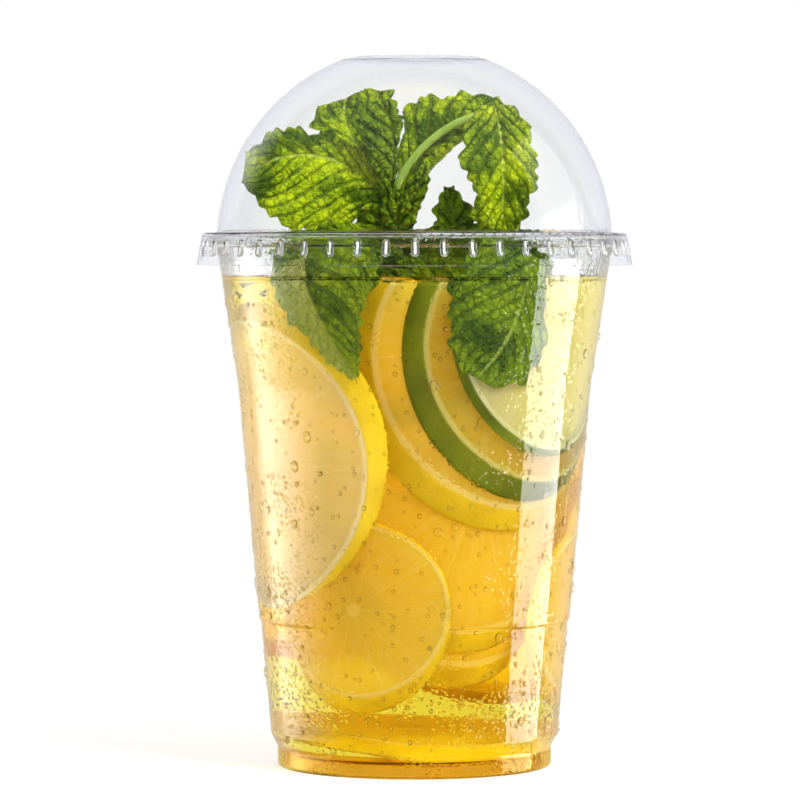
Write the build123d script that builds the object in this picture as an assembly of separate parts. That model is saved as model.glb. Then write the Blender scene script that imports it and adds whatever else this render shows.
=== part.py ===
from build123d import *
import math
import os

# A clear disposable cup with its dome lid, filled with iced citrus tea.
# Millimetres, +Z up. The origin is the middle of the surface that the cup stands on.

# Cup: one thermoformed sheet
CUP_HEIGHT = 121.0
CUP_WALL = 0.5
RIM_RADIUS = 47.5  # outside of the rolled rim
CURL_RADIUS = 1.4  # outside of the roll's own section
CURL_TURN = 291.0  # degrees of roll
KNEE_RADIUS = 40.2  # outside, where the lower cone meets the wider upper one
KNEE_HEIGHT = 86.6
SHOULDER_RADIUS = 32.8
FOOT_STEP = 1.5  # from the shoulder's outside in to the foot's
FOOT_HEIGHT = 4.6
FOOT_LAND = 2.4  # width of the ring that the cup stands on
BASE_RECESS = 3.0  # the floor's underside above the table
RING_HEIGHT = 33.2  # the small step that cups nest on
RING_STEP = 0.4
RING_RISE = 0.6
SHOULDER_RISE = 3.0
# Bends of the sheet's middle line, from the axis out: floor, inside and outside of the
# foot, above the foot, shoulder, both sides of the nesting step, knee
CUP_BENDS = [0.8, 0.6, 0.6, 1.0, 1.2, 0.3, 0.3, 20.0]

# Lid: one thermoformed sheet
LID_WALL = 0.4
LID_SEAT_GAP = 0.15  # between the rim's top and the flange
DOME_INSET = 2.5  # from the rim's outside in to the dome's foot
DOME_HEIGHT = 40.0  # above the flange's top
DOME_TOP_RADIUS = 15.0  # flat disc
DOME_TOP_BEND = 12.0
DOME_FOOT_BEND = 0.9
SKIRT_BEND = 0.8
SKIRT_TOP_GAP = 0.5  # between the rim and the skirt's inside, at its top
SKIRT_FOOT_GAP = 1.8  # and at its foot
SKIRT_HEIGHT = 7.35
CRIMP_COUNT = 48
CRIMP_RADIUS = 0.5
CRIMP_HEIGHT = 3.2
CRIMP_DROP = 3.45  # the crimps' middle below the flange's top
CRIMP_CLEARANCE = 0.3  # to the rim

# Contents
FILL_DROP = 10.0  # of the drink's surface below the rim's top
SLICE_THICKNESS = 2.8
SLICE_GAP = 0.2  # from one layer of slices to the next one in
SLICE_CLEARANCE = 1.3  # between the wall and the outermost layer
LEAF_THICKNESS = 0.5
LEAF_CLEARANCE = 0.35  # between the wall and a leaf pressed to it
STEM_RADIUS = 1.5
BRANCH_RADIUS = 0.9

# Citrus slices pressed round the wall: name, azimuth of the middle in degrees (-90 is
# the front), how far the middle lies below the drink's surface, radius, layer counted
# inwards, how far the cut top lies below the surface
SLICES = [
    ("lime_slice_1", -34, 10.0, 29.5, 0, 1.5),
    ("lime_slice_2", -39, 15.5, 34.0, 1, 1.5),
    ("lemon_slice_1", -48, 18.0, 38.0, 2, 1.5),
    ("lemon_slice_2", -98, -1.0, 33.5, 3, 4.0),
    ("lemon_slice_3", -154, 38.5, 34.0, 0, 1.5),
    ("lemon_slice_4", -65, 48.5, 35.0, 3, 35.0),
    ("lemon_slice_5", -64, 56.5, 35.0, 4, 67.0),
    ("lemon_slice_6", 78, 35.0, 33.0, 0, 2.0),
    ("lemon_slice_7", 118, 53.0, 34.0, 1, 19.0),
    ("lemon_slice_8", 60, 70.0, 27.0, 2, 45.0),
    ("lime_slice_3", 50, 13.0, 21.5, 3, 1.5),
    ("lemon_slice_10", -120, 75.0, 22.0, 2, 1.5),
    ("lemon_slice_11", 4, 77.0, 20.0, 1, 1.5),
]
FLOOR_SLICE = "lemon_slice_9"  # lies on the cup's floor
FLOOR_SLICE_CLEARANCE = 2.8  # to the inside of the foot's wall
FLOOR_SLICE_LIFT = 3.2  # of its middle's underside above the floor
FLOOR_SLICE_TILT = 4.0

# Mint: free leaves, each from its stalk end to its tip, with heights from the rim's top,
# the way that it faces, its width and how far its middle bulges that way
LEAVES = [
    ("mint_leaf_1", (-6.3, -1.9, 9.5), (-39.2, -9.0, 13.5), (0.1, -1, 0.15), 27.0, 3.5),
    ("mint_leaf_2", (-6.2, 0.9, 10.5), (-19.5, 5.0, 31.5), (0.1, -1, 0.1), 21.0, 1.5),
    ("mint_leaf_3", (-5.3, -3.1, 11.5), (-7.2, -6.4, 31.0), (-0.1, -1, 0.1), 10.0, 1.5),
    ("mint_leaf_4", (-3.4, 2.2, 11.5), (20.5, 4.5, 30.0), (-0.35, -0.9, 0.3), 19.0, 3.0),
    ("mint_leaf_5", (18.3, -2.6, 28.3), (19.5, -9.0, -1.5), (0.1, -1, 0.1), 19.0, 4.0),
    ("mint_leaf_6", (9.2, -4.4, -2.2), (7.8, -3.4, 10.8), (0.1, -1, 0), 9.0, 0.6),
    ("mint_leaf_7", (-3.3, -1.9, 3.5), (2.6, -5.0, 16.0), (0.2, -1, 0), 6.0, 1.0),
    ("mint_leaf_8", (-5.6, -1.3, -3.5), (-32.0, -20.0, -6.0), (0.55, -0.85, 0), 15.0, 1.0),
    ("mint_leaf_9", (-2.7, -1.3, -4.0), (31.0, -16.0, -8.0), (-0.4, -0.9, 0), 16.0, 1.0),
]
LEAF_STALK = 1.6  # width at the stalk end
LEAF_TIP = 0.8
LEAF_BELLY = 0.45  # where a leaf is widest, as a share of its length
# Mint leaves pressed to the wall in the drink: name, azimuth of the middle, how far it
# lies below the surface, length, width, and the turn of the tip from straight down
WALL_LEAVES = [
    ("mint_leaf_10", -117, 8.0, 29.0, 22.0, 22.0),
    ("mint_leaf_11", -61, 8.0, 30.0, 27.0, -26.0),
]
# Heights from the rim's top
STEM_ROUTE = [(-1.5, 3.0, -37.0), (-4.0, 1.0, -9.0), (-4.6, -0.6, 10.0)]
BRANCH_ROUTE = [(-4.4, -0.6, 10.4), (3.5, -0.4, 21.4), (17.3, -1.5, 28.0)]

# Worked out from the sizes above
foot_radius = SHOULDER_RADIUS - FOOT_STEP
fill_height = CUP_HEIGHT - FILL_DROP
slice_pitch = SLICE_THICKNESS + SLICE_GAP
dome_base_radius = RIM_RADIUS - DOME_INSET
skirt_top_radius = RIM_RADIUS + SKIRT_TOP_GAP + LID_WALL
skirt_radius = RIM_RADIUS + SKIRT_FOOT_GAP + LID_WALL
flange_top = CUP_HEIGHT + LID_SEAT_GAP + LID_WALL
dome_top = flange_top + DOME_HEIGHT


def cup_line():
    """The middle line of the cup's sheet, from the axis to the end of the rim's roll."""
    half = CUP_WALL / 2
    roll = CURL_RADIUS - half
    centre = (RIM_RADIUS - CURL_RADIUS, CUP_HEIGHT - CURL_RADIUS)
    knee = (KNEE_RADIUS - half, KNEE_HEIGHT)
    run, rise = centre[0] - knee[0], centre[1] - knee[1]
    lean = math.degrees(math.atan2(run, rise) - math.asin(roll / math.hypot(run, rise)))
    curl = CenterArc(centre, roll, 180 - lean, -CURL_TURN)
    slope = (KNEE_RADIUS - RING_STEP - SHOULDER_RADIUS) / (KNEE_HEIGHT - FOOT_HEIGHT - SHOULDER_RISE)
    ring = SHOULDER_RADIUS - half + slope * (RING_HEIGHT - FOOT_HEIGHT - SHOULDER_RISE)
    wall = FilletPolyline(
        (0, BASE_RECESS + half),
        (foot_radius - FOOT_LAND - half, BASE_RECESS + half),
        (foot_radius - FOOT_LAND, half),
        (foot_radius - half, half),
        (foot_radius - half, FOOT_HEIGHT),
        (SHOULDER_RADIUS - half, FOOT_HEIGHT + SHOULDER_RISE),
        (ring, RING_HEIGHT),
        (ring + RING_STEP, RING_HEIGHT + RING_RISE),
        knee,
        curl @ 0,
        radius=CUP_BENDS,
    )
    return wall, curl


def cup_section():
    wall, curl = cup_line()
    return trace(Wire(list(wall.edges()) + list(curl.edges())), line_width=CUP_WALL)


def inside_section(top):
    """Half of what the cup holds up to a height."""
    wall, _ = cup_line()
    mouth = wall @ 1
    closing = Polyline(mouth, (0, mouth.Y), wall @ 0)
    filled = make_face(list(wall.edges()) + list(closing.edges()))
    below = Pos(RIM_RADIUS, top / 2) * Rectangle(2 * RIM_RADIUS, top)
    return (filled - cup_section()) & below


def make_cup():
    return revolve(cup_section(), Axis.Y)


def lid_section():
    half = LID_WALL / 2
    run = dome_base_radius**2 - DOME_TOP_RADIUS**2
    centre = (flange_top + dome_top) / 2 - run / (2 * DOME_HEIGHT)
    ball = math.hypot(dome_base_radius, flange_top - centre) - half
    flange, top = flange_top - half, dome_top - half
    base_angle = math.degrees(math.asin((flange - centre) / ball))
    top_angle = math.degrees(math.asin((top - centre) / ball))
    dome = CenterArc((0, centre), ball, base_angle, top_angle - base_angle)
    disc = Line(dome @ 1, (0, top))
    skirt = Polyline(
        dome @ 0,
        (skirt_top_radius - half, flange),
        (skirt_radius - half, flange_top - SKIRT_HEIGHT),
    )
    line = Wire(list(disc.edges()) + list(dome.edges()) + list(skirt.edges()))
    shoulder = skirt.vertices()[1]
    bends = [(dome @ 1, DOME_TOP_BEND), (dome @ 0, DOME_FOOT_BEND), (tuple(shoulder), SKIRT_BEND)]
    for corner, radius in bends:
        line = line.fillet_2d(radius, [line.vertices().sort_by_distance(corner)[0]])
    return trace(line, line_width=LID_WALL)


def make_lid():
    shell = revolve(lid_section(), Axis.Y)
    middle = flange_top - CRIMP_DROP
    place = RIM_RADIUS + CRIMP_CLEARANCE + LID_WALL + CRIMP_RADIUS
    core_line = Polyline(
        (0, flange_top - LID_WALL),
        (skirt_top_radius - LID_WALL / 2, flange_top - LID_WALL),
        (skirt_radius - LID_WALL / 2, flange_top - SKIRT_HEIGHT),
        (0, flange_top - SKIRT_HEIGHT),
        close=True,
    )
    core = revolve(make_face(core_line), Axis.Y)
    turns = [360 / CRIMP_COUNT * step for step in range(CRIMP_COUNT)]
    spots = [Pos(0, middle, 0) * Rot(0, turn, 0) * Pos(place, 0, 0) for turn in turns]
    bumps = [spot * capsule(CRIMP_RADIUS + LID_WALL) for spot in spots]
    grooves = [spot * capsule(CRIMP_RADIUS) for spot in spots]
    return shell + (Part() + bumps & core) - grooves


def capsule(radius):
    """A round-ended upright pin, along Y as the sections are drawn."""
    reach = CRIMP_HEIGHT / 2
    pin = Rot(90, 0, 0) * Cylinder(radius, CRIMP_HEIGHT - 2 * CRIMP_RADIUS)
    ends = [Pos(0, side * (reach - CRIMP_RADIUS), 0) * Sphere(radius) for side in (-1, 1)]
    return pin + ends


def upright(shape):
    """Turns what was revolved about Y to stand on +Z."""
    return Rot(90, 0, 0) * shape


def wall_radius(height):
    """The inside radius of the cup's lower cone, carried on above the knee, or that of its
    upper cone where that one lies nearer to the axis."""
    low, high = FOOT_HEIGHT + SHOULDER_RISE, CUP_HEIGHT - CURL_RADIUS
    lower_slope = (KNEE_RADIUS - SHOULDER_RADIUS) / (KNEE_HEIGHT - low)
    upper_slope = (RIM_RADIUS - 2 * CURL_RADIUS - KNEE_RADIUS) / (high - KNEE_HEIGHT)
    slope = min(lower_slope, upper_slope) if height > KNEE_HEIGHT else lower_slope
    return KNEE_RADIUS - CUP_WALL + slope * (height - KNEE_HEIGHT)


def wall_layer(depth, thickness, low, high):
    """A cone-shaped sheet that follows the cup's wall at a depth inside it."""
    outer = [(wall_radius(height) - depth, height) for height in (low, high)]
    inner = [(radius - thickness, height) for radius, height in reversed(outer)]
    return upright(revolve(make_face(Polyline(*outer, *inner, close=True)), Axis.Y))


def facing(azimuth, height):
    """A plane on the cup's axis that looks out at an azimuth, with its Y axis up."""
    out = Vector(1, 0, 0).rotate(Axis.Z, azimuth)
    return Plane((0, 0, height), x_dir=(-out.Y, out.X, 0), z_dir=(out.X, out.Y, 0))


def wall_slice(azimuth, sunk, radius, layer, top_sunk):
    """A citrus slice bent to the wall, cut straight at its top."""
    height, top = fill_height - sunk, fill_height - top_sunk
    depth = SLICE_CLEARANCE + layer * slice_pitch
    round_wall = wall_radius(height) - depth
    half_width = round_wall * math.sin(min(radius / round_wall, math.pi / 2))
    outline = extrude(Ellipse(half_width, radius), amount=2 * RIM_RADIUS)
    band = wall_layer(depth, SLICE_THICKNESS, height - radius, top)
    return facing(azimuth, height) * outline & band


def floor_slice():
    floor = BASE_RECESS + CUP_WALL
    radius = foot_radius - CUP_WALL - FLOOR_SLICE_CLEARANCE
    disc = Cylinder(radius, SLICE_THICKNESS, align=(Align.CENTER, Align.CENTER, Align.MIN))
    return Pos(0, 0, floor + FLOOR_SLICE_LIFT) * Rot(FLOOR_SLICE_TILT, FLOOR_SLICE_TILT, 0) * disc


def leaf_outline(length, width):
    """A leaf's flat outline, from its stalk end at the origin along +X."""
    belly = (LEAF_BELLY * length, width / 2)
    upper = ThreePointArc((0, LEAF_STALK / 2), belly, (length, LEAF_TIP / 2))
    lower = mirror(upper, Plane.XZ)
    ends = [Line(lower @ share, upper @ share) for share in (0, 1)]
    return make_face([*upper.edges(), *lower.edges(), *ends[0].edges(), *ends[1].edges()])


def above_rim(point):
    """A point whose height is given from the rim's top."""
    x, y, height = point
    return (x, y, CUP_HEIGHT + height)


def free_leaf(base, tip, face, width, bulge):
    base = above_rim(base)
    along = Vector(above_rim(tip)) - Vector(base)
    length = along.length
    across = Vector(face) - along * (Vector(face).dot(along) / length**2)
    arc = ThreePointArc((0, 0), (length / 2, bulge), (length, 0))
    band = extrude(Plane.XZ * trace(arc, line_width=LEAF_THICKNESS), amount=width, both=True)
    blank = extrude(leaf_outline(length, width), amount=2 * bulge + width, both=True)
    return Plane(base, x_dir=along, z_dir=across) * (band & blank)


def wall_leaf(azimuth, sunk, length, width, turn):
    """A mint leaf pressed to the wall in the drink, tip down."""
    height = fill_height - sunk
    blank = extrude(Rot(0, 0, turn - 90) * Pos(-length / 2, 0) * leaf_outline(length, width), RIM_RADIUS)
    reach = max(length, width) / 2
    band = wall_layer(LEAF_CLEARANCE, LEAF_THICKNESS, height - reach, height + reach)
    return facing(azimuth, height) * blank & band


def stalk(route, radius):
    path = ThreePointArc(*(above_rim(point) for point in route))
    return sweep(Plane(path @ 0, z_dir=path % 0) * Circle(radius), path)


def make_contents():
    """Everything in the drink, and the drink itself with room for them."""
    pieces = {name: wall_slice(*place) for name, *place in SLICES}
    pieces[FLOOR_SLICE] = floor_slice()
    pieces["mint_stem"] = stalk(STEM_ROUTE, STEM_RADIUS)
    pieces["mint_branch"] = stalk(BRANCH_ROUTE, BRANCH_RADIUS)
    for name, *shape in LEAVES:
        pieces[name] = free_leaf(*shape)
    for name, *place in WALL_LEAVES:
        pieces[name] = wall_leaf(*place)
    drink = upright(revolve(inside_section(fill_height), Axis.Y))
    wet = [piece for piece in pieces.values() if piece.bounding_box().min.Z < fill_height]
    pieces["drink"] = drink - wet
    return pieces


nodes = {"cup": upright(make_cup()), "dome_lid": upright(make_lid()), **make_contents()}
os.makedirs("parts", exist_ok=True)
for name, shape in nodes.items():
    export_step(shape, f"parts/{name}.step")
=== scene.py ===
# A clear cold-drink cup with its dome lid, filled with yellow citrus tea, lemon and lime
# slices and a sprig of mint, and wet outside with dew.
import math
import random

import bmesh
import bpy
from mathutils import Matrix, Vector, noise
from mathutils.bvhtree import BVHTree


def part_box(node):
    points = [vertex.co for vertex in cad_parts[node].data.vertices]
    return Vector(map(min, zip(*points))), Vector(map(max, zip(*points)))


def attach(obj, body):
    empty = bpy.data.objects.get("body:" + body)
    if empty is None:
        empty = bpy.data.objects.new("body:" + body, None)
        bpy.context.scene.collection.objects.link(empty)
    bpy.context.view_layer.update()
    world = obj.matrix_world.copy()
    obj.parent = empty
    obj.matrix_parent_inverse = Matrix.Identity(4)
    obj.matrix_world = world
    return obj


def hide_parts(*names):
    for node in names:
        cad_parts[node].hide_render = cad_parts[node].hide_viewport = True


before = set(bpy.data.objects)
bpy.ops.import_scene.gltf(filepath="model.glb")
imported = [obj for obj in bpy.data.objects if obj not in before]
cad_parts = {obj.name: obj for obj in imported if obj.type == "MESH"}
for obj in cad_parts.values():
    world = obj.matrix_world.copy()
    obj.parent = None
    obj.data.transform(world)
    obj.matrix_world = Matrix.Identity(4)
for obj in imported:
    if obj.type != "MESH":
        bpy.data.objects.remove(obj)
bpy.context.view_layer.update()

# ------------------------------------------------------------------ Camera
# A long lens stands a metre off, a little below the rim's level, and looks at the cup
# almost level, so that the flange is seen edge on.
MM = 0.001
EYE_HEIGHT = 117.6 * MM
EYE_DISTANCE = 1016 * MM
EYE_SIDE = -3.3 * MM
AIM_HEIGHT = 83.4 * MM
LENS = 200.3

lens = bpy.data.cameras.new("camera")
lens.lens = LENS
lens.sensor_width = 36
lens.clip_end = 100
camera = bpy.data.objects.new("camera", lens)
camera.location = (EYE_SIDE, -EYE_DISTANCE, EYE_HEIGHT)
tilt = math.atan2(AIM_HEIGHT - EYE_HEIGHT, EYE_DISTANCE)
camera.rotation_euler = (math.pi / 2 + tilt, 0, 0)
bpy.context.collection.objects.link(camera)
bpy.context.scene.camera = camera
bpy.context.scene.view_settings.view_transform = "Standard"
bpy.context.scene.cycles.max_bounces = 20
bpy.context.scene.cycles.transmission_bounces = 20
bpy.context.scene.cycles.transparent_max_bounces = 24
bpy.context.scene.cycles.adaptive_threshold = 0.2

# ------------------------------------------------------------------ Cup
# One thermoformed sheet of clear polyester: a standing ring round a raised floor, a
# nesting step, a two-angle wall and a rolled rim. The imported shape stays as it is.
CLEAR_INDEX = 1.38
CLEAR_TINT = (0.985, 0.99, 0.99, 1)
EDGE_SHADE_TINT = (0.82, 0.77, 0.66, 1)  # painted edge shade, where the sheet is seen along its surface
EDGE_SHADE_FADE = (0.60, 0.98)
FOOT_PAINTED_GLOW = (0.96, 0.84, 0.42, 1)  # painted glow: the clear foot is tinted with the drink's colour, standing in for light coming through the drink
FOOT_TOP = 4.6 * MM
MIST_SCALE = 850.0  # beads of mist a metre, and how high they stand
MIST_HEIGHT = 0.12 * MM


class Value:
    """A shader socket that can be used in Python sums."""

    def __init__(self, finish, socket):
        self.finish = finish
        self.socket = socket

    def __add__(self, other):
        return self.finish.number("ADD", self, other)

    def __sub__(self, other):
        return self.finish.number("SUBTRACT", self, other)

    def __mul__(self, other):
        return self.finish.number("MULTIPLY", self, other)

    def __truediv__(self, other):
        return self.finish.number("DIVIDE", self, other)

    def __pow__(self, other):
        return self.finish.number("POWER", self, other)

    def __rsub__(self, other):
        return self.finish.number("SUBTRACT", other, self)

    def __rtruediv__(self, other):
        return self.finish.number("DIVIDE", other, self)

    def __neg__(self):
        return self.finish.number("SUBTRACT", 0, self)

    __radd__ = __add__
    __rmul__ = __mul__


class Finish:
    """A material and the nodes that make it."""

    def __init__(self, owner):
        self.owner = bpy.data.materials.new(owner) if isinstance(owner, str) else owner
        self.owner.use_nodes = True
        self.tree = self.owner.node_tree
        self.tree.nodes.clear()

    def node(self, kind, settings, inputs):
        node = self.tree.nodes.new("ShaderNode" + kind)
        for key, value in settings.items():
            if key == "stops":
                ramp = node.color_ramp.elements
                ramp[0].position, ramp[0].color = value[0]
                ramp[1].position, ramp[1].color = value[-1]
                for place, colour in value[1:-1]:
                    ramp.new(place).color = colour
            else:
                setattr(node, key, value)
        for key, value in inputs.items():
            if isinstance(value, Value):
                self.tree.links.new(value.socket, node.inputs[key])
            else:
                node.inputs[key].default_value = value
        return node

    def get(self, kind, output=0, settings=None, inputs=None):
        """One output of a new node."""
        return Value(self, self.node(kind, settings or {}, inputs or {}).outputs[output])

    def number(self, operation, *values, clamp=False):
        settings = {"operation": operation, "use_clamp": clamp}
        return self.get("Math", 0, settings, dict(enumerate(values)))

    def step(self, value, low, high):
        """0 below low, 1 above high, smooth between; the other way round if high is lower."""
        settings = {"interpolation_type": "SMOOTHSTEP"}
        inputs = {"Value": value, "From Min": low, "From Max": high}
        return self.get("MapRange", 0, settings, inputs)

    def colour(self, factor, first, second, how="MIX"):
        settings = {"data_type": "RGBA", "blend_type": how}
        return self.get("Mix", 2, settings, {0: factor, 6: first, 7: second})

    def mix(self, factor, first, second):
        return self.get("MixShader", 0, None, {0: factor, 1: first, 2: second})

    def noise(self, place, scale, detail=3.0, rough=0.5):
        inputs = {"Vector": place, "Scale": scale, "Detail": detail, "Roughness": rough}
        return self.get("TexNoise", "Fac", None, inputs)

    def bump(self, height, strength, distance):
        return self.get("Bump", 0, None, {"Height": height, "Strength": strength, "Distance": distance})

    def glassy(self, index, tint, rough=0.0, normal=None):
        """Clear refracting sheet or water that lets lamps and soft light through."""
        path = self.node("LightPath", {}, {})
        inputs = {"Color": tint, "Roughness": rough, "IOR": index}
        if normal is not None:
            inputs["Normal"] = normal
        solid = self.get("BsdfGlass", 0, None, inputs)
        open_way = self.get("BsdfTransparent", 0, None, {"Color": tint})
        passing = self.number(
            "MAXIMUM",
            Value(self, path.outputs["Is Shadow Ray"]),
            Value(self, path.outputs["Is Diffuse Ray"]),
        )
        return self.mix(passing, solid, open_way)

    def done(self, surface, volume=None):
        kind = "Material" if isinstance(self.owner, bpy.types.Material) else "World"
        output = self.tree.nodes.new("ShaderNodeOutput" + kind)
        self.tree.links.new(surface.socket, output.inputs["Surface"])
        if volume is not None:
            self.tree.links.new(volume.socket, output.inputs["Volume"])
        return self.owner


def misty_sheet():
    """The cup's clear sheet, misted with beads too small to be drops of their own, with painted tan shade
    where it is seen edge on and a painted glow of the drink's colour in its foot.
    """
    finish = Finish("clear_cup_sheet")
    place = finish.get("TexCoord", "Object")
    beads = finish.get("TexVoronoi", 0, None, {"Vector": place, "Scale": MIST_SCALE})
    patches = finish.step(finish.noise(place, 60.0, 3.0, 0.6), 0.40, 0.62)
    relief = finish.bump(finish.step(beads, 0.42, 0.10) * patches, 1.0, MIST_HEIGHT)
    facing = finish.get("LayerWeight", "Facing", None, {"Blend": 0.5})
    clear = finish.glassy(CLEAR_INDEX, CLEAR_TINT, 0.0, relief)
    edge = finish.glassy(CLEAR_INDEX, EDGE_SHADE_TINT, 0.0, relief)
    # painted glow of the drink's colour in the clear foot
    foot = finish.glassy(CLEAR_INDEX, FOOT_PAINTED_GLOW, 0.0, relief)
    height = Value(finish, finish.node("SeparateXYZ", {}, {0: place}).outputs["Z"])
    # painted edge shade: the sheet turns tan where it is seen edge on
    wall = finish.mix(finish.step(facing, *EDGE_SHADE_FADE), clear, edge)
    return finish.done(finish.mix(finish.step(height, FOOT_TOP, FOOT_TOP - 1 * MM), wall, foot))


def dress(node, material):
    """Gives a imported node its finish."""
    node.material_slots[0].material = material


dress(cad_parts["cup"], misty_sheet())

# ------------------------------------------------------------------ Lid
# One thermoformed dome of the same clear sheet, with a flat top, a flange that rests on
# the rim and a crimped skirt that snaps over it. It lifts straight off.
LID_INDEX = 1.34
# Painted edge shade: a grey-lavender tint where the dome is seen along its surface
LID_EDGE_SHADE_TINT = (0.90, 0.90, 0.95, 1)
LID_EDGE_SHADE_FADE = (0.35, 0.95)
CRIMP_COUNT = 48
CRIMP_BAND = 4.8 * MM  # from the skirt's foot up to the crimps' tops
# Painted highlight: white dashes along each crimp stand in for the lamps' reflections in them
CRIMP_HIGHLIGHT_LEVEL = 0.75


def lid_finish():
    """Clear sheet with painted grey-lavender shade where it is seen edge on, and painted white highlights
    along each crimp.
    """
    finish = Finish("clear_lid_sheet")
    place = finish.get("TexCoord", "Object")
    parts = finish.node("SeparateXYZ", {}, {0: place})
    across, deep, height = (Value(finish, parts.outputs[axis]) for axis in ("X", "Y", "Z"))
    lid_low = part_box("dome_lid")[0].z
    turn = finish.number("ARCTAN2", deep, across) * (CRIMP_COUNT / math.tau) + 0.5
    from_crimp = finish.number("ABSOLUTE", finish.number("FRACT", turn + CRIMP_COUNT) - 0.5)
    band = finish.step(height, lid_low + 2.2 * MM, lid_low + 3.0 * MM)
    band = band * finish.step(height, lid_low + CRIMP_BAND + 0.8 * MM, lid_low + CRIMP_BAND)
    crimp = finish.step(from_crimp, 0.065, 0.02) * band * CRIMP_HIGHLIGHT_LEVEL
    facing = finish.get("LayerWeight", "Facing", None, {"Blend": 0.5})
    clear = finish.glassy(LID_INDEX, CLEAR_TINT)
    edge = finish.glassy(LID_INDEX, LID_EDGE_SHADE_TINT)
    # painted edge shade where the dome is seen edge on
    sheet = finish.mix(finish.step(facing, *LID_EDGE_SHADE_FADE), clear, edge)
    # painted highlight along each crimp
    painted_crimp_highlight = finish.get("BsdfDiffuse", 0, None, {"Color": (0.95, 0.95, 0.95, 1)})
    return finish.done(finish.mix(crimp, sheet, painted_crimp_highlight))


dress(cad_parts["dome_lid"], lid_finish())

# ------------------------------------------------------------------ Drink
# Yellow citrus tea that fills the cup to just under the rim. Its skin lies a little way
# into the cup's wall, so that no air shows between them.
DRINK_INDEX = 1.33
DRINK_TURNS = 128
DRINK_INTO_WALL = 0.15 * MM
MENISCUS_RISE = 0.8 * MM
MENISCUS_WIDTH = 2.0 * MM
DRINK_RINGS = 60
DRINK_COLOUR = (0.985, 0.91, 0.08, 1)
DRINK_DENSITY = 50

cup_tree = BVHTree.FromObject(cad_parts["cup"], bpy.context.evaluated_depsgraph_get())
drink_low, drink_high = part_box("drink")


def inside_radius(height):
    """From the axis to the cup's inside wall at a height."""
    hit = cup_tree.ray_cast(Vector((0, 0, height)), Vector((1, 0, 0)))[0]
    return hit.x


def new_piece(name, mesh, material, body, smooth=True):
    """A finished bmesh as an object that rides on a body."""
    data = bpy.data.meshes.new(name)
    mesh.to_mesh(data)
    mesh.free()
    data.materials.append(material)
    if smooth:
        data.shade_smooth()
    piece = bpy.data.objects.new(name, data)
    bpy.context.collection.objects.link(piece)
    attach(piece, body)
    return piece


def drink_profile():
    floor = cup_tree.ray_cast(Vector((0, 0, drink_high.z)), Vector((0, 0, -1)))[0].z
    rows = []
    bottom = drink_low.z
    for ring in range(DRINK_RINGS + 1):
        height = bottom + (drink_high.z - bottom) * ring / DRINK_RINGS
        rows.append((inside_radius(max(height, floor + 0.1 * MM)) + DRINK_INTO_WALL, height))
    return floor, rows


def make_drink():
    floor, _ = drink_profile()
    start = floor + 0.3 * MM
    mesh = bmesh.new()
    places = [(0, floor - DRINK_INTO_WALL), (inside_radius(start) * 0.8, floor - DRINK_INTO_WALL)]
    for ring in range(DRINK_RINGS + 1):
        height = start + (drink_high.z - start) * ring / DRINK_RINGS
        places.append((inside_radius(height) + DRINK_INTO_WALL, height))
    edge = places[-1][0]
    for share in (0.0, 0.15, 0.35, 0.6, 0.85, 1.0):
        lift = MENISCUS_RISE * (1 - share) ** 2
        places.append((edge - MENISCUS_WIDTH * share, drink_high.z + lift))
    places.append((0, drink_high.z))
    points = [mesh.verts.new((x, 0, z)) for x, z in places]
    lines = [mesh.edges.new(pair) for pair in zip(points, points[1:])]
    bmesh.ops.spin(
        mesh, geom=points + lines, cent=(0, 0, 0), axis=(0, 0, 1),
        angle=math.tau, steps=DRINK_TURNS, use_merge=True,
    )
    bmesh.ops.remove_doubles(mesh, verts=mesh.verts, dist=1e-6)
    bmesh.ops.recalc_face_normals(mesh, faces=mesh.faces)
    return mesh


def drink_finish():
    finish = Finish("citrus_tea")
    water = finish.glassy(DRINK_INDEX, (1, 1, 1, 1))
    depth = finish.get("VolumeAbsorption", 0, None, {"Color": DRINK_COLOUR, "Density": DRINK_DENSITY})
    return finish.done(water, depth)


drink = new_piece("citrus_drink", make_drink(), drink_finish(), "cup")
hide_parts("drink")

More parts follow.
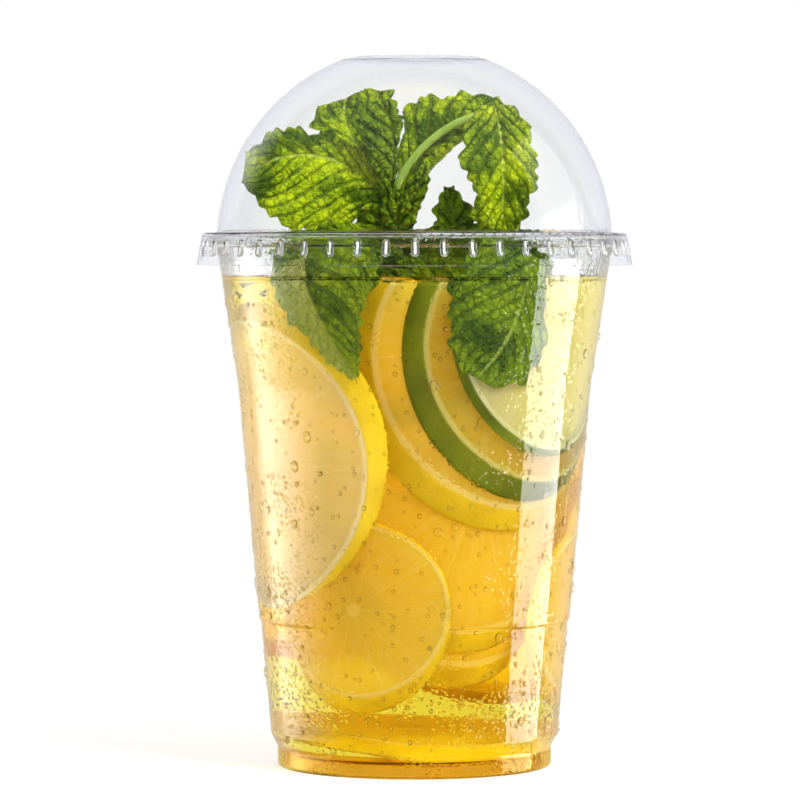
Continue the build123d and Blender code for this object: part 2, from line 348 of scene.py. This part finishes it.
# ------------------------------------------------------------------ Citrus slices
# Lemon and lime wheels, some cut straight at the top, lie against the wall in layers.
# Each has a rind, a pale pith, and wedges of flesh between thin skins.
SLICE_THICKNESS = 2.8 * MM
SLICE_PITCH = 3.0 * MM
SLICE_CLEARANCE = 1.3 * MM
SLICE_TURNS = 120
WALL_LOW = (7.6 * MM, 32.3 * MM)  # height and inside radius at the shoulder
WALL_HIGH = (86.6 * MM, 39.7 * MM)  # and at the knee
SLICES = [
    # name, fruit, azimuth, height, radius, layer, cut top, then which way its outer face
    # is pushed, how far, and how much wider the rind is at the back
    ("lime_slice_1", "lit_lime", -34, 101.0, 29.5, 0, 110.7, 50, 0.4, 1.2),
    ("lime_slice_2", "lime", -39, 95.5, 34.0, 1, 110.7, 40, 2.4, 3.0),
    ("lemon_slice_1", "lemon", -48, 93.0, 38.0, 2, 110.7, 30, 3.2, 3.4),
    ("lemon_slice_2", "lemon", -98, 112.0, 33.5, 3, 107.0, 60, 2.6, 3.0),
    ("lemon_slice_3", "lit_lemon", -154, 72.5, 34.0, 0, 110.7, 225, 4.2, 1.4),
    ("lemon_slice_4", "lemon", -65, 62.5, 35.0, 3, 76.0, 60, 2.6, 3.0),
    ("lemon_slice_5", "lemon", -64, 54.5, 35.0, 4, 44.0, 60, 2.6, 3.0),
    ("lemon_slice_6", "lemon", 78, 76.0, 33.0, 0, 109.0, 60, 2.6, 3.0),
    ("lemon_slice_7", "lemon", 118, 58.0, 34.0, 1, 92.0, 120, 2.6, 3.0),
    ("lemon_slice_8", "lemon", 60, 41.0, 27.0, 2, 66.0, 60, 2.6, 3.0),
    ("lime_slice_3", "lime", 50, 98.0, 21.5, 3, 110.7, 240, 2.6, 3.0),
    ("lemon_slice_10", "lemon", -120, 36.0, 22.0, 2, 110.7, 60, 2.0, 2.4),
    ("lemon_slice_11", "lemon", 4, 34.0, 20.0, 1, 110.7, 120, 2.0, 2.4),
]
LEMON = {"rind": (0.60, 0.40, 0.006, 1), "zest": (0.80, 0.58, 0.015, 1), "pith": (0.82, 0.78, 0.50, 1),
         "flesh": (0.90, 0.73, 0.11, 1), "pale": (0.95, 0.84, 0.26, 1),
         "glow": (0.98, 0.80, 0.07, 1), "clear": (0.99, 0.92, 0.28, 1), "wedges": 10}
# Painted light: a lighter copy of the lemon look for the slice at the left, where the wall takes the soft
# bank's highlight
LIT_LEMON = {"rind": (0.66, 0.44, 0.006, 1), "zest": (0.80, 0.58, 0.015, 1), "pith": (0.90, 0.86, 0.62, 1),
              "flesh": (0.92, 0.80, 0.36, 1), "pale": (0.95, 0.89, 0.56, 1),
              "glow": (0.98, 0.88, 0.36, 1), "clear": (0.99, 0.95, 0.58, 1), "wedges": 10}
LIME = {"rind": (0.065, 0.105, 0.002, 1), "zest": (0.17, 0.23, 0.006, 1), "pith": (0.66, 0.70, 0.30, 1),
        "flesh": (0.74, 0.62, 0.05, 1), "pale": (0.86, 0.76, 0.16, 1),
        "glow": (0.85, 0.72, 0.05, 1), "clear": (0.97, 0.86, 0.25, 1), "wedges": 9}
# Painted highlight: a paler copy of the lime look for the front lime slice
LIT_LIME = {"rind": (0.055, 0.10, 0.002, 1), "zest": (0.14, 0.21, 0.006, 1), "pith": (0.86, 0.86, 0.52, 1),
             "flesh": (0.80, 0.82, 0.36, 1), "pale": (0.90, 0.92, 0.58, 1),
             "glow": (0.92, 0.90, 0.36, 1), "clear": (0.97, 0.96, 0.60, 1), "wedges": 9}
FACE_EDGE = 0.90  # where the pith meets the rind on a face, as a share of the radius


def citrus_finish(name, look):
    finish = Finish(name)
    chart = finish.get("UVMap", 0, {"uv_map": "disc"})
    parts = finish.node("SeparateXYZ", {}, {0: chart})
    across, up = (Value(finish, parts.outputs[axis]) for axis in ("X", "Y"))
    radius = finish.number("SQRT", across * across + up * up)
    angle = finish.number("ARCTAN2", up, across)
    wobble = finish.noise(chart, 5.0) - 0.5
    spoke = finish.number("ABSOLUTE", finish.number("SINE", (angle + wobble * 0.2) * (look["wedges"] / 2)))
    skin = finish.step(spoke * radius, 0.045, 0.01) * 0.22
    core = finish.step(radius, 0.09, 0.05) * 0.4
    pith = finish.step(radius + wobble * 0.03, 0.858, 0.882)
    rind = finish.step(radius, FACE_EDGE - 0.012, FACE_EDGE + 0.012)
    polar = finish.get("CombineXYZ", 0, None, {0: angle * 6.0, 1: radius * 2.0, 2: 0.0})
    grain = finish.noise(polar, 2.2, 4.0, 0.6)
    flesh = finish.colour(finish.step(grain, 0.30, 0.72), look["flesh"], look["pale"])
    membrane = finish.number("MAXIMUM", finish.number("MAXIMUM", skin, core), pith)
    colour = finish.colour(membrane, flesh, look["pith"])
    place = finish.get("TexCoord", "Object")
    pores = finish.get("TexVoronoi", 0, None, {"Vector": place, "Scale": 700.0})
    patches = finish.noise(place, 90.0)
    peel = finish.colour(finish.step(patches, 0.3, 0.7), look["rind"], look["zest"])
    colour = finish.colour(rind, colour, peel)
    dimples = finish.step(pores, 0.1, 0.5) * rind * 0.3
    relief = finish.bump(grain * (1 - membrane) + membrane * 0.9 + dimples, 0.5, 0.4 * MM)
    gloss = {"Base Color": colour, "Roughness": 0.35, "Normal": relief}
    body = finish.get("BsdfPrincipled", 0, None, gloss)
    through = finish.get("BsdfTranslucent", 0, None, {"Color": look["glow"], "Normal": relief})
    pulp = finish.mix(0.5 - 0.35 * rind, body, through)
    clear = finish.get("BsdfTransparent", 0, None, {"Color": look["clear"]})
    return finish.done(finish.mix(0.42 * (1 - rind) * (1 - 0.6 * membrane) + 0.04, pulp, clear))


def slice_mesh(radius, top, push, shift, slant):
    """A flat wheel cut straight at the top. Its outer face, towards -Y, is smaller than its
    back by the slant and shifted sideways, which bares the rind."""
    mesh = bmesh.new()
    face = radius - slant
    pith = FACE_EDGE * radius
    half = SLICE_THICKNESS / 2
    front = [(0, 0.1), (0.3, 0.12), (0.6, 0.12), (0.78, 0.10), (0.82, 0.0)]
    places = [(share * face, -half + dip * MM) for share, dip in front]
    places += [(face, -half), (face + 0.5 * MM, -half + 0.3 * MM)]
    places += [(radius - 0.4 * MM, half - 0.6 * MM), (radius, half - 0.2 * MM), (radius - 0.4 * MM, half)]
    places += [(pith * 0.9, half), (0.5 * radius, half - 0.1 * MM), (0, half - 0.1 * MM)]
    points = [mesh.verts.new((x, y, 0)) for x, y in places]
    lines = [mesh.edges.new(pair) for pair in zip(points, points[1:])]
    bmesh.ops.spin(
        mesh, geom=points + lines, cent=(0, 0, 0), axis=(0, 1, 0),
        angle=math.tau, steps=SLICE_TURNS, use_merge=True,
    )
    bmesh.ops.remove_doubles(mesh, verts=mesh.verts, dist=1e-6)
    chart = mesh.loops.layers.uv.new("disc")
    for side in mesh.faces:
        for loop in side.loops:
            x, y, z = loop.vert.co
            scale = radius if y > -half + 0.2 * MM else face / FACE_EDGE
            loop[chart].uv = (x / scale, z / scale)
    aside = Vector((math.cos(math.radians(push)), 0, math.sin(math.radians(push)))) * shift
    for vertex in mesh.verts:
        vertex.co += aside * (0.5 - vertex.co.y / SLICE_THICKNESS)
    if top < radius:
        everything = mesh.verts[:] + mesh.edges[:] + mesh.faces[:]
        bmesh.ops.bisect_plane(
            mesh, geom=everything, plane_co=(0, 0, top), plane_no=(0, 0, 1), clear_outer=True
        )
        rim = [edge for edge in mesh.edges if edge.is_boundary]
        bmesh.ops.holes_fill(mesh, edges=rim)
        bmesh.ops.triangulate(mesh, faces=[side for side in mesh.faces if len(side.verts) > 4])
    bmesh.ops.recalc_face_normals(mesh, faces=mesh.faces)
    return mesh


def bend_to_wall(mesh, azimuth, height, depth):
    """Rolls a flat piece in the XZ plane round the cup's axis, at a depth inside the wall."""
    low_height, low_radius = WALL_LOW
    slope = (WALL_HIGH[1] - low_radius) / (WALL_HIGH[0] - low_height)
    for vertex in mesh.verts:
        x, y, z = vertex.co
        wall = low_radius + slope * (height + z - low_height)
        middle = low_radius + slope * (height - low_height) - depth
        radius = wall - depth - y
        angle = math.radians(azimuth) + x / middle
        vertex.co = (radius * math.cos(angle), radius * math.sin(angle), height + z)


citrus = {
    "lemon": citrus_finish("lemon_slice", LEMON),
    "lit_lemon": citrus_finish("pale_lemon_slice", LIT_LEMON),
    "lime": citrus_finish("lime_slice", LIME),
    "lit_lime": citrus_finish("pale_lime_slice", LIT_LIME),
}
for name, fruit, azimuth, height, radius, layer, top, push, shift, slant in SLICES:
    wheel = slice_mesh(radius * MM, (top - height) * MM, push, shift * MM, slant * MM)
    depth = SLICE_CLEARANCE + layer * SLICE_PITCH + SLICE_THICKNESS / 2
    bend_to_wall(wheel, azimuth, height * MM, depth)
    piece = new_piece(name + "_cut", wheel, citrus[fruit], "cup")
    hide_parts(name)

# One more lemon wheel lies almost flat on the cup's floor.
FLOOR_SLICE_RADIUS = 28.0 * MM
FLOOR_SLICE_LIFT = 6.7 * MM
FLOOR_SLICE_TILT = math.radians(4)
FLOOR_SLICE_SHIFT = 2.6 * MM
FLOOR_SLICE_SLANT = 3.0 * MM
wheel = slice_mesh(FLOOR_SLICE_RADIUS, FLOOR_SLICE_RADIUS, 90, FLOOR_SLICE_SHIFT, FLOOR_SLICE_SLANT)
tilted = Matrix.Rotation(FLOOR_SLICE_TILT, 4, "X") @ Matrix.Rotation(FLOOR_SLICE_TILT, 4, "Y")
laid = Matrix.Translation((0, 0, FLOOR_SLICE_LIFT)) @ tilted
middle = Matrix.Translation((0, 0, SLICE_THICKNESS / 2)) @ Matrix.Rotation(-math.pi / 2, 4, "X")
bmesh.ops.transform(wheel, matrix=laid @ middle, verts=wheel.verts)
floor_wheel = new_piece("lemon_slice_9_cut", wheel, citrus["lemon"], "cup")
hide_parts("lemon_slice_9")

# ------------------------------------------------------------------ Mint
# A sprig of mint: a round stalk with a side branch, and soft quilted leaves with toothed
# edges. Some stand in the dome, some lie across the mouth, and two hang into the drink.
LEAF_ROWS = 110
LEAF_COLUMNS = 64
LEAF_SHEET = 0.30 * MM
LEAF_TOOTH_PITCH = 3.0 * MM
LEAF_TOOTH = 0.9 * MM
LEAF_VEIN_PITCH = 4.2 * MM
LEAF_CELL = 1.7 * MM
LEAF_QUILT = 0.9 * MM
LEAF_PUCKER = 0.6 * MM
LEAVES = [
    # name, stalk end, tip, facing, width, bulge, fold along the midrib in degrees,
    # how far the midrib lies to one side, look, then how wide each side is as shares of
    # half the width at even steps from the stalk end to the tip
    ("mint_leaf_1", (-6.3, -1.9, 130.5), (-38.6, -8.0, 134.5), (0.1, -1, 0.2), 27.0, 3.0, 10,
     -0.5, "sunlit", (0.20, 0.60, 0.95, 1.00, 0.66, 0.10), (0.20, 0.65, 0.86, 0.90, 0.80, 0.42)),
    ("mint_leaf_2", (-6.2, 0.9, 131.5), (-15.5, 5.0, 152.5), (0.1, -1, 0.1), 21.0, 1.5, 14,
     0.30, "sunlit", (0.15, 0.42, 0.70, 0.88, 1.00, 0.75), (0.15, 0.50, 0.75, 0.92, 0.95, 0.50)),
    ("mint_leaf_3", (-5.3, -3.3, 127.5), (-7.6, -6.4, 151.6), (-0.1, -1, 0.1), 10.0, 1.5, 18,
     -0.60, "shaded", (0.20, 0.45, 0.75, 1.05, 1.30, 0.60), (0.20, 0.40, 0.60, 0.75, 0.90, 0.50)),
    ("mint_leaf_4", (-3.4, 2.2, 130.5), (20.5, 4.5, 151.0), (-0.35, -0.9, 0.3), 19.0, 2.5, 12,
     0.30, "sunlit", (0.20, 0.90, 1.45, 1.30, 0.85, 0.20), (0.15, 0.15, 0.12, 0.20, 0.35, 0.10)),
    ("mint_leaf_5", (18.3, -2.6, 150.3), (19.5, -9.0, 119.5), (0.1, -1, 0.1), 19.0, 4.0, 16,
     0.10, "sunlit", (0.50, 0.84, 0.88, 0.85, 0.62, 0.25), (0.45, 0.90, 1.02, 0.68, 0.80, 0.30)),
    ("mint_leaf_6", (9.2, -4.4, 118.8), (7.8, -3.4, 131.8), (0.1, -1, 0), 9.0, 0.6, 10,
     0, "shaded", (0.60, 0.90, 1.00, 0.95, 0.65, 0.20), (0.60, 0.95, 1.10, 0.95, 0.60, 0.20)),
    ("mint_leaf_7", (-3.3, -1.9, 124.5), (2.6, -5.0, 137.0), (0.2, -1, 0), 6.0, 1.0, 15,
     0, "shaded", (0.50, 0.85, 1.00, 0.90, 0.60, 0.20), (0.50, 0.80, 1.00, 0.90, 0.70, 0.20)),
    ("mint_leaf_8", (-5.6, -1.3, 117.5), (-32.0, -20.0, 115.0), (0.55, -0.85, 0), 15.0, 1.0, 10,
     0, "shaded", (0.40, 0.95, 1.10, 1.00, 0.80, 0.30), (0.40, 0.95, 1.10, 1.00, 0.80, 0.30)),
    ("mint_leaf_9", (-2.7, -1.3, 117.0), (31.0, -16.0, 113.0), (-0.4, -0.9, 0), 16.0, 1.0, 10,
     0, "shaded", (0.40, 0.95, 1.10, 1.00, 0.80, 0.30), (0.40, 0.95, 1.10, 1.00, 0.80, 0.30)),
]
BUDS = [
    # small leaves where the leaves meet the stem, darkened by the painted-shade look: name and the same shape
    # values
    ("mint_bud_left", (-4.6, -2.6, 120.5), (-13.5, -5.0, 129.5), (0.1, -1, 0), 10.0, 0.8, 12,
     0, "shaded", (0.50, 0.90, 1.00, 0.90, 0.65, 0.20), (0.50, 0.90, 1.05, 0.95, 0.60, 0.20)),
    ("mint_bud_low", (-15.0, -8.5, 114.5), (0.5, -8.0, 113.0), (0, -1, 0.1), 8.5, 0.4, 10,
     0, "shaded", (0.40, 0.90, 1.00, 0.95, 0.80, 0.30), (0.40, 0.95, 1.05, 1.00, 0.80, 0.30)),
    ("mint_bud_right", (-4.6, -3.0, 119.5), (-3.2, -5.6, 131.5), (0.1, -1, 0), 9.0, 0.8, 12,
     0, "shaded", (0.50, 0.90, 1.00, 0.90, 0.65, 0.20), (0.50, 0.90, 1.05, 0.95, 0.60, 0.20)),
]
WALL_LEAVES = [
    # name, azimuth, height, length, width, turn, midrib to one side, look, side widths
    ("mint_leaf_10", -117, 103.0, 29.0, 22.0, 22.0, -0.3, "turned",
     (1.20, 1.60, 1.00, 0.58, 0.34, 0.08), (1.10, 1.10, 0.88, 0.64, 0.40, 0.08)),
    ("mint_leaf_11", -61, 103.0, 30.0, 27.0, -26.0, 0.2, "shaded",
     (0.30, 0.60, 0.90, 1.05, 0.92, 0.40), (0.90, 1.10, 1.10, 0.98, 0.72, 0.30)),
]
# Painted light and shade: sunlit and shaded are lit and shaded copies of one leaf colouring, and turned is a
# brighter copy with one side painted paler, as if lit from that side
LEAF_LOOKS = {
    "sunlit": {"deep": (0.050, 0.115, 0.001, 1), "green": (0.33, 0.45, 0.003, 1),
               "bright": (0.66, 0.74, 0.006, 1), "pale": (0.66, 0.76, 0.16, 1),
               "glow": (0.66, 0.78, 0.005, 1), "turned": 0.0},
    "shaded": {"deep": (0.026, 0.070, 0.001, 1), "green": (0.155, 0.255, 0.003, 1),
               "bright": (0.32, 0.44, 0.008, 1), "pale": (0.46, 0.56, 0.08, 1),
               "glow": (0.44, 0.58, 0.005, 1), "turned": 0.0},
    "turned": {"deep": (0.070, 0.135, 0.002, 1), "green": (0.27, 0.38, 0.006, 1),
               "bright": (0.46, 0.56, 0.012, 1), "pale": (0.56, 0.57, 0.10, 1),
               "glow": (0.46, 0.60, 0.008, 1), "turned": 0.75},
}
WALL_LEAF_DEPTH = 0.6 * MM
WALL_LEAF_RELIEF = 0.15


def side_width(shares, along):
    """How wide one side of a leaf is at a share of its length."""
    place = along * (len(shares) - 1)
    step = min(int(place), len(shares) - 2)
    return shares[step] + (shares[step + 1] - shares[step]) * (place - step)


def leaf_shape(length, width, bulge, fold, midrib, left, right, seed):
    """A quilted, toothed leaf along +X from its stalk end, facing +Z, with its own chart.
    Its left side is the one towards +Y."""
    dice = random.Random(seed)
    lean = dice.uniform(0, math.tau)
    mesh = bmesh.new()
    bmesh.ops.create_grid(mesh, x_segments=LEAF_ROWS, y_segments=LEAF_COLUMNS, size=1)
    chart = mesh.loops.layers.uv.new("leaf")
    for side in mesh.faces:
        for loop in side.loops:
            along, across = loop.vert.co.x / 2 + 0.5, loop.vert.co.y
            off = across - midrib * math.sin(math.pi * along) ** 0.5
            loop[chart].uv = (along * length / LEAF_VEIN_PITCH, off * width / 2 / LEAF_VEIN_PITCH)
    teeth = length / LEAF_TOOTH_PITCH
    veins = length / LEAF_VEIN_PITCH
    slope = math.tan(math.radians(fold))
    for vertex in mesh.verts:
        along, across = vertex.co.x / 2 + 0.5, vertex.co.y
        away = abs(across)
        outline = side_width(left if across > 0 else right, along)
        tooth = 1 - abs((along * teeth + 0.2 * math.sin(9 * along + lean)) % 1 * 2 - 1) ** 1.5
        edge = away**5
        off = abs(across - midrib * math.sin(math.pi * along) ** 0.5)
        vein = (along * veins - off * width / 2 / LEAF_VEIN_PITCH * 1.1) % 1
        quilt = math.sin(math.pi * vein) ** 0.6 * min(1, off * 6) * (1 - edge)
        ripple = math.sin(along * 10 + lean + (2.5 if across > 0 else 0)) * away**2
        jag = 0.10 * math.sin(along * 23 + lean) * math.sin(along * 7 + 2 * lean) * edge
        outline *= 1 + jag
        x = length * (along + 0.15 * away * (1 - along) * along) + 0.5 * LEAF_TOOTH * edge * tooth
        y = (width / 2 * outline - LEAF_TOOTH * (1 - tooth) * edge * min(1, outline * 2)) * across
        spot = Vector((x, y, seed * MM)) / LEAF_CELL
        near, next_near = noise.voronoi(spot)[0][:2]
        pucker = min(1, (next_near - near) * 2.5)
        z = 4 * bulge * along * (1 - along) + LEAF_QUILT * quilt + LEAF_PUCKER * pucker
        z += 0.035 * width * ripple + slope * (off * width / 2 * outline - width * 0.15)
        vertex.co = (x, y, z)
    return mesh


def leaf_finish(name, look):
    finish = Finish(name)
    chart = finish.get("UVMap", 0, {"uv_map": "leaf"})
    parts = finish.node("SeparateXYZ", {}, {0: chart})
    along, across = (Value(finish, parts.outputs[axis]) for axis in ("X", "Y"))
    away = finish.number("ABSOLUTE", across)
    vein = finish.number("FRACT", along - away * 1.1 + 20)
    from_vein = finish.number("MINIMUM", vein, 1 - vein)
    place = finish.get("TexCoord", "Object")
    cells = finish.get("TexVoronoi", 0, {"feature": "DISTANCE_TO_EDGE"}, {"Vector": place, "Scale": 560.0})
    side_vein = finish.step(from_vein, 0.09, 0.02)
    fold = finish.step(from_vein, 0.24, 0.06)
    midrib = finish.step(away, 0.17, 0.05)
    cell_crease_shade = finish.step(cells, 0.12, 0.0)
    # painted shade: the mottling is pushed darker along the folds beside the side veins
    blotch = finish.noise(place, 110.0, 4.0, 0.6) - 0.10 * fold
    # painted light: the turned look makes one side of the leaf paler, as if lit from that side
    side = finish.step(across, 0.1, -0.1) * look["turned"]
    green = finish.colour(finish.step(blotch, 0.36, 0.50), look["deep"], look["green"])
    green = finish.colour(finish.step(blotch, 0.48, 0.64), green, look["bright"])
    # painted shade: the edges of the puckered cells and the folds beside the side veins are darkened, as in
    # the creases' shade
    green = finish.colour(cell_crease_shade * 0.5 + fold * 0.35, green, look["deep"])
    colour = finish.colour(midrib * 0.6 + side_vein * 0.15, green, look["pale"])
    colour = finish.colour(side, colour, look["pale"])
    height = finish.number("MINIMUM", cells * 4.0, 1.0) - side_vein * 0.6 - midrib
    relief = finish.bump(height, 1.0, 0.5 * MM)
    body = {"Base Color": colour, "Roughness": 0.45, "Normal": relief}
    skin = finish.get("BsdfPrincipled", 0, None, body)
    through = finish.get("BsdfTranslucent", 0, None, {"Color": look["glow"], "Normal": relief})
    return finish.done(finish.mix(0.22 + 0.30 * finish.step(blotch, 0.35, 0.7), skin, through))


def add_thickness(piece, thickness):
    sheet = piece.modifiers.new("sheet", "SOLIDIFY")
    sheet.thickness = thickness
    sheet.offset = 0


mint = {name: leaf_finish("mint_leaf_" + name, look) for name, look in LEAF_LOOKS.items()}
for number, (name, base, tip, face, width, bulge, fold, midrib, look, left, right) in enumerate(LEAVES + BUDS):
    base, tip, face = Vector(base) * MM, Vector(tip) * MM, Vector(face)
    along = (tip - base).normalized()
    up = (face - along * face.dot(along)).normalized()
    leaf = leaf_shape((tip - base).length, width * MM, bulge * MM, fold, midrib, left, right, number)
    frame_of_leaf = Matrix((along, up.cross(along), up)).transposed().to_4x4()
    bmesh.ops.transform(leaf, matrix=Matrix.Translation(base) @ frame_of_leaf, verts=leaf.verts)
    piece = new_piece(name + "_blade", leaf, mint[look], "cup")
    add_thickness(piece, LEAF_SHEET)
    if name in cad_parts:
        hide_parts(name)
for number, (name, azimuth, height, length, width, turn, midrib, look, left, right) in enumerate(WALL_LEAVES):
    leaf = leaf_shape(length * MM, width * MM, 0, 0, midrib, left, right, 20 + number)
    centred = Matrix.Translation((-length / 2 * MM, 0, 0))
    turned = Matrix.Rotation(math.radians(turn - 90), 4, "Z")
    upright = Matrix.Rotation(math.pi / 2, 4, "X")
    flat = Matrix.Scale(WALL_LEAF_RELIEF, 4, (0, 0, 1))
    bmesh.ops.transform(leaf, matrix=upright @ turned @ flat @ centred, verts=leaf.verts)
    bend_to_wall(leaf, azimuth, height * MM, WALL_LEAF_DEPTH)
    piece = new_piece(name + "_blade", leaf, mint[look], "cup")
    add_thickness(piece, LEAF_SHEET)
    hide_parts(name)


def stalk_finish():
    finish = Finish("mint_stalk")
    place = finish.get("TexCoord", "Object")
    streak = finish.noise(place, 300.0, 3.0)
    colour = finish.colour(streak, (0.16, 0.30, 0.02, 1), (0.42, 0.55, 0.10, 1))
    relief = finish.bump(streak, 0.3, 0.2 * MM)
    return finish.done(finish.get("BsdfPrincipled", 0, None, {
        "Base Color": colour, "Roughness": 0.4, "Normal": relief,
    }))


for name in ("mint_stem", "mint_branch"):
    dress(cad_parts[name], stalk_finish())

# ------------------------------------------------------------------ Dew
# Water has gathered on the cold outside of the cup: a fine mist of beads, larger drops
# between them, and a few that have started to run.
DEW = [
    # how many, least and most radius, how much longer than wide, how flat
    (700, 0.24, 0.42, 1.0, 0.36),
    (760, 0.42, 0.66, 1.1, 0.40),
    (90, 0.66, 1.15, 1.3, 0.45),
]
DEW_LOW = 6 * MM
DEW_HIGH = 112 * MM
WATER_INDEX = 1.33
DEW_THINNESS = 0.45


def dew_mesh():
    mesh = bmesh.new()
    dice = random.Random(7)
    for count, least, most, stretch, flat in DEW:
        for _ in range(count):
            azimuth = dice.uniform(0, math.tau)
            height = dice.uniform(DEW_LOW, DEW_HIGH)
            size = dice.uniform(least, most) * MM
            out = Vector((math.cos(azimuth), math.sin(azimuth), 0))
            start = out * 0.1 + Vector((0, 0, height))
            spot, normal, _, _ = cup_tree.ray_cast(start, -out)
            side = Vector((0, 0, 1)).cross(normal).normalized()
            frame_of_drop = Matrix((side, normal.cross(side), normal)).transposed().to_4x4()
            lengthen = dice.uniform(1.0, stretch)
            stretch_it = Matrix.Diagonal((size, size * lengthen, size * flat, 1))
            place = Matrix.Translation(spot + normal * size * flat * 0.12)
            bmesh.ops.create_icosphere(
                mesh, subdivisions=2 if size > 0.66 * MM else 1, radius=1,
                matrix=place @ frame_of_drop @ stretch_it,
            )
    return mesh


def water_finish():
    """Clear water, thin enough that much of what lies behind shows straight through."""
    finish = Finish("water")
    straight = finish.get("BsdfTransparent", 0, None, {"Color": (1, 1, 1, 1)})
    return finish.done(finish.mix(DEW_THINNESS, finish.glassy(WATER_INDEX, (1, 1, 1, 1)), straight))


dew = new_piece("dew", dew_mesh(), water_finish(), "cup")

# ------------------------------------------------------------------ Studio
# A white table that fades into a white surround, a tall soft light on the right, a
# softer one on the left and one above.
FLOOR_SIZE = 6.0
FLOOR_FADE = (0.05, 0.20)


def rays(finish):
    """Two masks: a ray that sees straight or through clear parts, and one mirrored before."""
    path = finish.node("LightPath", {}, {})
    camera_ray, through_ray, mirrors = (
        Value(finish, path.outputs[kind])
        for kind in ("Is Camera Ray", "Is Transmission Ray", "Glossy Depth")
    )
    mirrored = finish.number("MINIMUM", mirrors, 1)
    return finish.number("MAXIMUM", camera_ray, through_ray * (1 - mirrored)), mirrored


def floor_finish():
    """White, with the cup's soft shadow near its foot. Mirrored rays pass through."""
    finish = Finish("white_table")
    place = finish.get("TexCoord", "Object")
    parts = finish.node("SeparateXYZ", {}, {0: place})
    across, back = (Value(finish, parts.outputs[axis]) for axis in ("X", "Y"))
    away = finish.number("SQRT", across * across + back * back)
    seen, mirrored = rays(finish)
    lit = finish.get("BsdfDiffuse", 0, None, {"Color": (0.9, 0.9, 0.9, 1)})
    white = finish.get("Emission", 0, None, {"Color": (1, 1, 1, 1), "Strength": 1.0})
    open_way = finish.get("BsdfTransparent", 0, None, {"Color": (1, 1, 1, 1)})
    fade = seen * (0.6 + 0.4 * finish.step(away, *FLOOR_FADE))
    return finish.done(finish.mix(mirrored, finish.mix(fade, lit, white), open_way))


table_mesh = bmesh.new()
bmesh.ops.create_grid(table_mesh, x_segments=1, y_segments=1, size=FLOOR_SIZE / 2)
table_data = bpy.data.meshes.new("table")
table_mesh.to_mesh(table_data)
table_mesh.free()
table_data.materials.append(floor_finish())
table = bpy.data.objects.new("table", table_data)
bpy.context.collection.objects.link(table)
table.visible_glossy = False


def soft_light(name, azimuth, distance, height, size, power, mirrored):
    """A rectangular soft light that looks at the cup: one that shows in the clear parts,
    or one that only lights what is in them."""
    data = bpy.data.lights.new(name, "AREA")
    data.shape = "RECTANGLE"
    data.size, data.size_y = size
    data.energy = power
    lamp = bpy.data.objects.new(name, data)
    turn = math.radians(azimuth)
    lamp.location = (distance * math.cos(turn), distance * math.sin(turn), height)
    aim = Vector((-math.cos(turn), -math.sin(turn), 0 if mirrored else (0.08 - height) / distance))
    lamp.rotation_euler = aim.to_track_quat("-Z", "Y").to_euler()
    lamp.visible_camera = False
    lamp.visible_transmission = False
    lamp.visible_glossy = mirrored
    lamp.visible_diffuse = not mirrored
    bpy.context.collection.objects.link(lamp)


soft_light("right_strip", 5, 0.6, -0.13, (0.40, 0.45), 6.0, True)
soft_light("right_panel", 5, 0.6, 0.40, (0.40, 0.60), 1.6, True)
soft_light("key_light", -45, 0.7, 0.9, (0.35, 0.35), 16, False)
soft_light("back_light", 90, 0.8, 0.2, (0.9, 0.7), 14, False)


BACKDROP_FADE = (0.35, 0.75)
CEILING_FADE = (0.45, 0.85)
CEILING_LEVEL = 0.4
ROOM_COLOUR = (0.03, 0.03, 0.035, 1)
FILL_LEVEL = 0.62
# A soft bank of light low on the left, from its azimuth and its rise
LEFT_WASH_START = (math.radians(132), math.radians(152))
LEFT_WASH_END = (math.radians(215), math.radians(155))
LEFT_WASH_TOP = (-0.02, -0.06)
LEFT_WASH_FOOT = (-0.28, -0.15)
LEFT_WASH_LEVEL = 5.0


def surround_finish():
    """White behind everything that is seen or seen through, and a plain level of light.
    What has been mirrored once finds the backdrop at the back and a dim room in front."""
    finish = Finish(bpy.data.worlds.new("surround"))
    seen, mirrored = rays(finish)
    way = finish.node("SeparateXYZ", {}, {0: finish.get("TexCoord", "Generated")})
    behind = finish.step(Value(finish, way.outputs["Y"]), *BACKDROP_FADE)
    above = finish.step(Value(finish, way.outputs["Z"]), *CEILING_FADE) * CEILING_LEVEL
    back = finish.number("MAXIMUM", behind, above)
    across, deep, rise = (Value(finish, way.outputs[axis]) for axis in ("X", "Y", "Z"))
    turn = finish.number("ARCTAN2", deep, across)
    wrapped = turn + math.tau * finish.number("LESS_THAN", turn, 0.0)
    wash = finish.step(wrapped, *LEFT_WASH_START) * finish.step(wrapped, *LEFT_WASH_END)
    wash = wash * finish.step(rise, *LEFT_WASH_TOP) * finish.step(rise, *LEFT_WASH_FOOT)
    white = finish.get("Background", 0, None, {"Color": (1, 1, 1, 1), "Strength": 1.0})
    room = finish.get("Background", 0, None, {"Color": ROOM_COLOUR, "Strength": 1.0})
    fill = finish.get("Background", 0, None, {"Color": (1, 1, 1, 1), "Strength": FILL_LEVEL})
    bank = finish.get("Background", 0, None, {"Color": (1, 1, 1, 1), "Strength": LEFT_WASH_LEVEL})
    unseen = finish.mix(mirrored, fill, finish.mix(wash, finish.mix(back, room, white), bank))
    return finish.done(finish.mix(seen, unseen, white))


bpy.context.scene.world = surround_finish()
